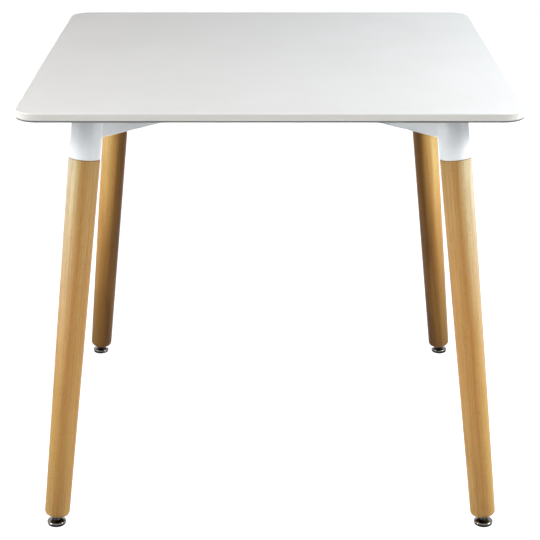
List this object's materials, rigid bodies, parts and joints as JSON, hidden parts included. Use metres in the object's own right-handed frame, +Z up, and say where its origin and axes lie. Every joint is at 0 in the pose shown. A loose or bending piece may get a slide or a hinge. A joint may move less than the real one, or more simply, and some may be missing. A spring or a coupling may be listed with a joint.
{
  "type": "dining table",
  "caption": "Square dining table with a thin rounded top, a diagonal steel cross frame, splayed turned legs in round sleeves and swivelling screw feet.",
  "frame": {"origin": "on the floor under the middle of the top", "axes": "+Z up through the middle of the top, -Y towards the front edge, +X to the right when seen from the front"},
  "size_m": [0.8, 0.8, 0.74],
  "materials": {
    "top_lacquer": "semi-gloss white lacquer on MDF",
    "frame_paint": "white powder coat, satin",
    "leg_beech": "clear satin lacquer on beech",
    "zinc_steel": "bright zinc plate",
    "cap_nickel": "polished nickel",
    "base_plastic": "black moulded plastic",
    "shell_nylon": "black nylon"
  },
  "bodies": {
    "root": {"table_top": "top_lacquer", "frame_main_rail": "frame_paint", "frame_cross_arm_front_right": "frame_paint", "frame_cross_arm_rear_left": "frame_paint", "frame_joint_plate_front_right": "frame_paint", "frame_joint_plate_rear_left": "frame_paint", "frame_joint_bolts": "zinc_steel", "frame_joint_nuts": "zinc_steel", "frame_mounting_tabs": "frame_paint", "top_bolts": "zinc_steel", "top_inserts": "zinc_steel", "leg_bolts": "zinc_steel", "leg_bolt_inserts": "zinc_steel", "sleeve_front_left": "frame_paint", "leg_front_left": "leg_beech", "foot_insert_front_left": "zinc_steel", "sleeve_front_right": "frame_paint", "leg_front_right": "leg_beech", "foot_insert_front_right": "zinc_steel", "sleeve_rear_right": "frame_paint", "leg_rear_right": "leg_beech", "foot_insert_rear_right": "zinc_steel", "sleeve_rear_left": "frame_paint", "leg_rear_left": "leg_beech", "foot_insert_rear_left": "zinc_steel"},
    "foot_carrier_front_left": {"foot_ball_shell_front_left": "shell_nylon"},
    "foot_screw_front_left": {"foot_stem_front_left": "zinc_steel"},
    "foot_disc_front_left": {"foot_base_front_left": "base_plastic", "foot_cap_front_left": "cap_nickel"},
    "foot_carrier_front_right": {"foot_ball_shell_front_right": "shell_nylon"},
    "foot_screw_front_right": {"foot_stem_front_right": "zinc_steel"},
    "foot_disc_front_right": {"foot_base_front_right": "base_plastic", "foot_cap_front_right": "cap_nickel"},
    "foot_carrier_rear_right": {"foot_ball_shell_rear_right": "shell_nylon"},
    "foot_screw_rear_right": {"foot_stem_rear_right": "zinc_steel"},
    "foot_disc_rear_right": {"foot_base_rear_right": "base_plastic", "foot_cap_rear_right": "cap_nickel"},
    "foot_carrier_rear_left": {"foot_ball_shell_rear_left": "shell_nylon"},
    "foot_screw_rear_left": {"foot_stem_rear_left": "zinc_steel"},
    "foot_disc_rear_left": {"foot_base_rear_left": "base_plastic", "foot_cap_rear_left": "cap_nickel"}
  },
  "joints": [
    {"name": "foot_height_front_left", "type": "slide", "parent": "root", "child": "foot_carrier_front_left", "axis": [-0.1057, -0.1057, -0.9888], "range_m": [-0.0015, 0.012]},
    {"name": "foot_turn_front_left", "type": "hinge", "parent": "foot_carrier_front_left", "child": "foot_screw_front_left", "pos_m": [-0.37, -0.37, 0.0072], "axis": [-0.1057, -0.1057, -0.9888], "range_deg": [-440, 3460]},
    {"name": "foot_tilt_front_left", "type": "hinge", "parent": "foot_carrier_front_left", "child": "foot_disc_front_left", "pos_m": [-0.37, -0.37, 0.0072], "axis": [0.7071, -0.7071, 0], "range_deg": [-23.6, 6.4]},
    {"name": "foot_height_front_right", "type": "slide", "parent": "root", "child": "foot_carrier_front_right", "axis": [0.1057, -0.1057, -0.9888], "range_m": [-0.0015, 0.012]},
    {"name": "foot_turn_front_right", "type": "hinge", "parent": "foot_carrier_front_right", "child": "foot_screw_front_right", "pos_m": [0.37, -0.37, 0.0072], "axis": [0.1057, -0.1057, -0.9888], "range_deg": [-440, 3460]},
    {"name": "foot_tilt_front_right", "type": "hinge", "parent": "foot_carrier_front_right", "child": "foot_disc_front_right", "pos_m": [0.37, -0.37, 0.0072], "axis": [0.7071, 0.7071, 0], "range_deg": [-23.6, 6.4]},
    {"name": "foot_height_rear_right", "type": "slide", "parent": "root", "child": "foot_carrier_rear_right", "axis": [0.1057, 0.1057, -0.9888], "range_m": [-0.0015, 0.012]},
    {"name": "foot_turn_rear_right", "type": "hinge", "parent": "foot_carrier_rear_right", "child": "foot_screw_rear_right", "pos_m": [0.37, 0.37, 0.0072], "axis": [0.1057, 0.1057, -0.9888], "range_deg": [-440, 3460]},
    {"name": "foot_tilt_rear_right", "type": "hinge", "parent": "foot_carrier_rear_right", "child": "foot_disc_rear_right", "pos_m": [0.37, 0.37, 0.0072], "axis": [-0.7071, 0.7071, 0], "range_deg": [-23.6, 6.4]},
    {"name": "foot_height_rear_left", "type": "slide", "parent": "root", "child": "foot_carrier_rear_left", "axis": [-0.1057, 0.1057, -0.9888], "range_m": [-0.0015, 0.012]},
    {"name": "foot_turn_rear_left", "type": "hinge", "parent": "foot_carrier_rear_left", "child": "foot_screw_rear_left", "pos_m": [-0.37, 0.37, 0.0072], "axis": [-0.1057, 0.1057, -0.9888], "range_deg": [-440, 3460]},
    {"name": "foot_tilt_rear_left", "type": "hinge", "parent": "foot_carrier_rear_left", "child": "foot_disc_rear_left", "pos_m": [-0.37, 0.37, 0.0072], "axis": [-0.7071, -0.7071, 0], "range_deg": [-23.6, 6.4]}
  ],
  "couplings": [
    {"joint": "foot_turn_front_left", "follows": "foot_height_front_left", "rad_per_m": 5026.5},
    {"joint": "foot_turn_front_right", "follows": "foot_height_front_right", "rad_per_m": 5026.5},
    {"joint": "foot_turn_rear_right", "follows": "foot_height_rear_right", "rad_per_m": 5026.5},
    {"joint": "foot_turn_rear_left", "follows": "foot_height_rear_left", "rad_per_m": 5026.5}
  ]
}
